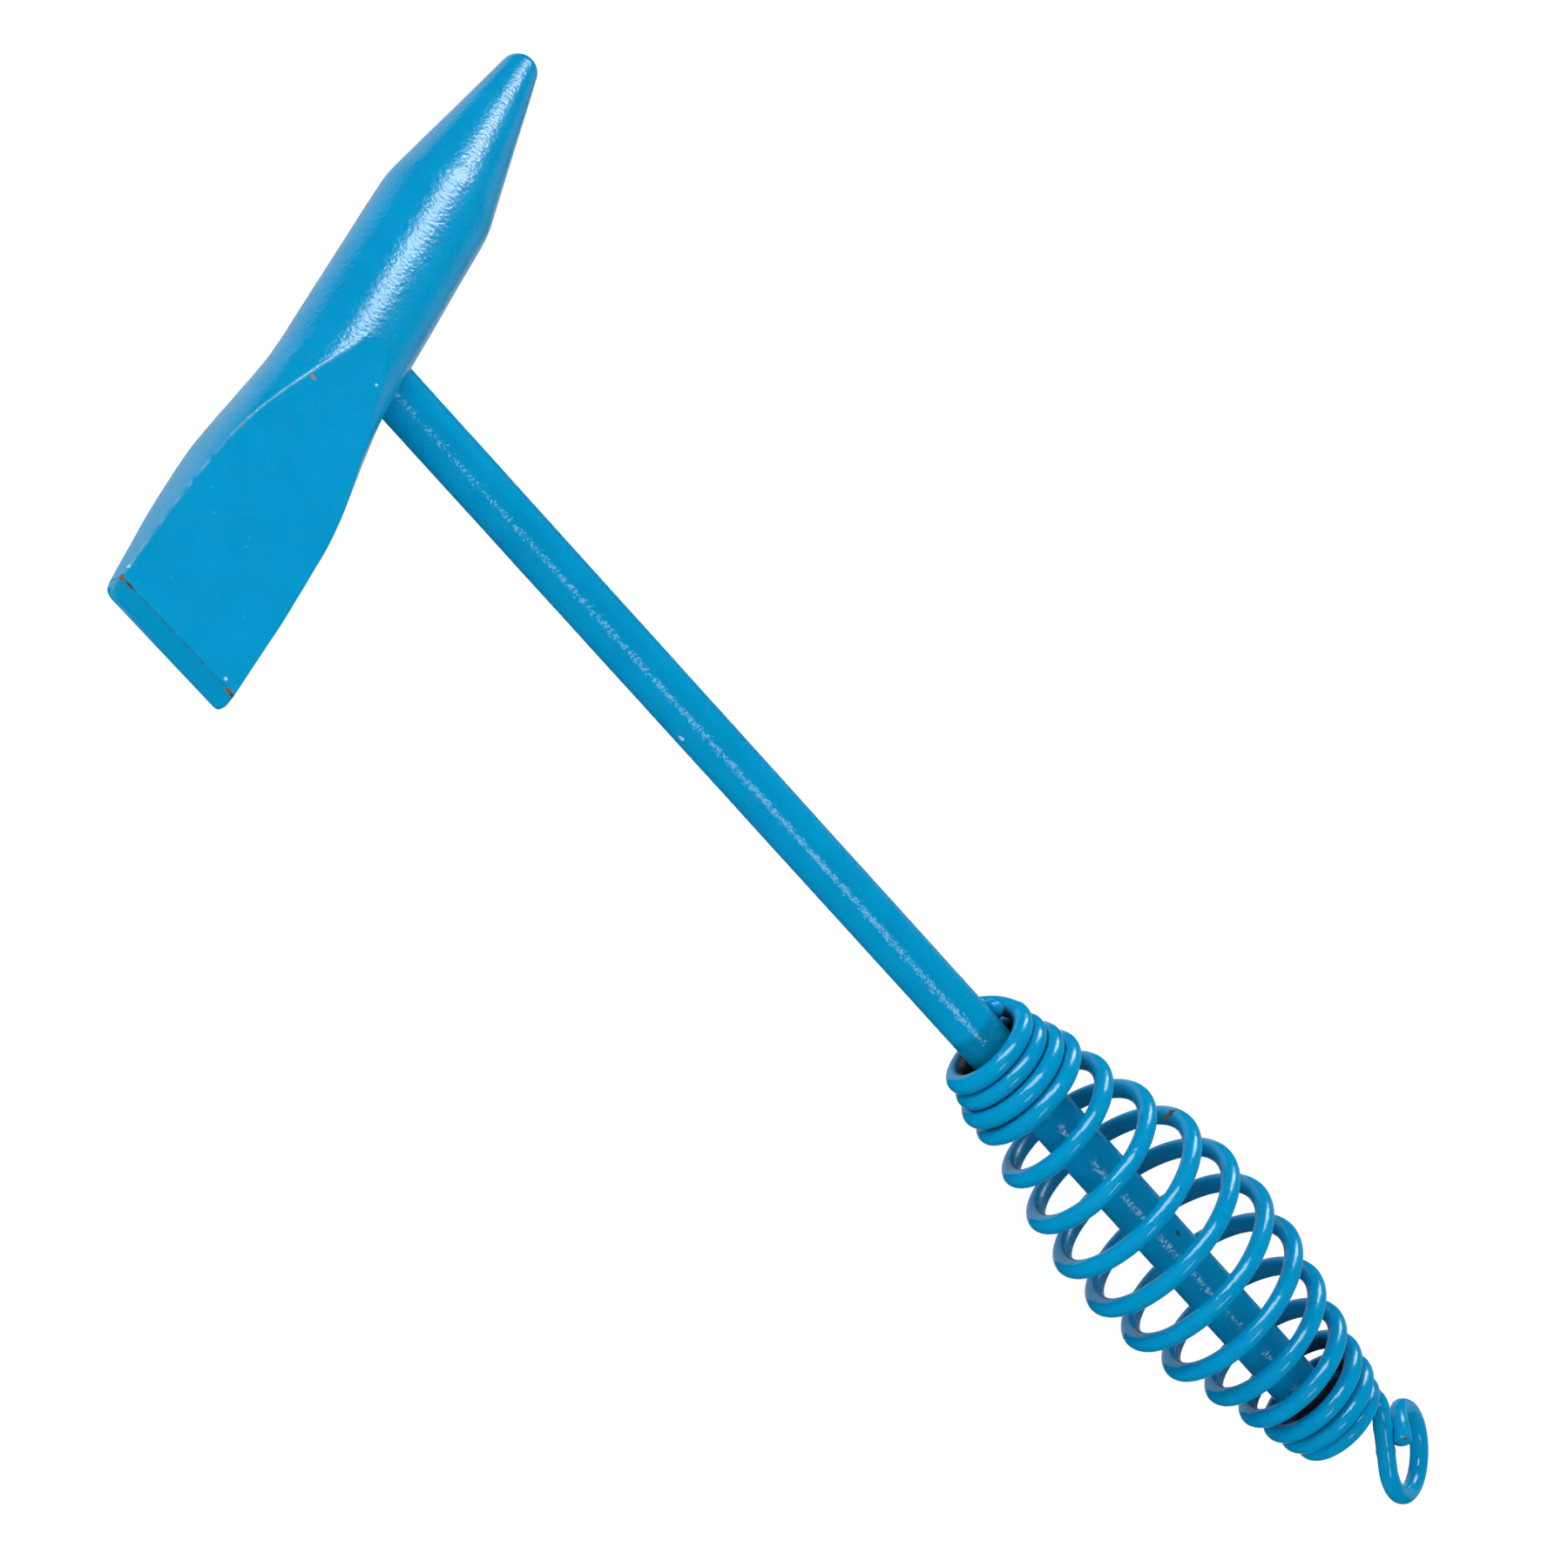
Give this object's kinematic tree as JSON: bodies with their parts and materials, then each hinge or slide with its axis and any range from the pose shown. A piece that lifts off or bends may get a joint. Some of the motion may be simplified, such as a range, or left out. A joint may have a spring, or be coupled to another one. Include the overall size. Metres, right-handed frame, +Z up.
{
  "type": "chipping hammer",
  "caption": "Chipping hammer for weld slag: pointed and chisel-ended forged head on a round rod, with a barrel-shaped wire spring grip that ends in a hanging eye.",
  "frame": {"origin": "centre of the footprint, on the table that the hammer lies on", "axes": "+X from the head towards the hanging eye, +Y towards the head's point, +Z up; the rod rises 2.1 degrees towards the grip"},
  "size_m": [0.3114, 0.1598, 0.0375],
  "materials": {
    "head_paint": "blue enamel, satin, fine orange peel over forged steel",
    "rod_paint": "blue enamel, semi-gloss over drawn bar",
    "weld_paint": "blue enamel over a small weld bead",
    "spring_paint": "blue enamel, glossy over spring wire"
  },
  "bodies": {
    "hammer": {"hammer_head": "head_paint", "handle_rod": "rod_paint", "collar_weld": "weld_paint", "grip_spring_collar": "spring_paint", "grip_spring_body": "spring_paint"},
    "grip_end": {"grip_spring_tail": "spring_paint"}
  },
  "joints": [
    {"name": "grip_stretch", "type": "slide", "parent": "hammer", "child": "grip_end", "axis": [0.9993, 0, 0.0373], "range_m": [-0.007, 0.01], "stiffness_N_per_m": 4800, "deforming": ["grip_spring_body"]}
  ]
}
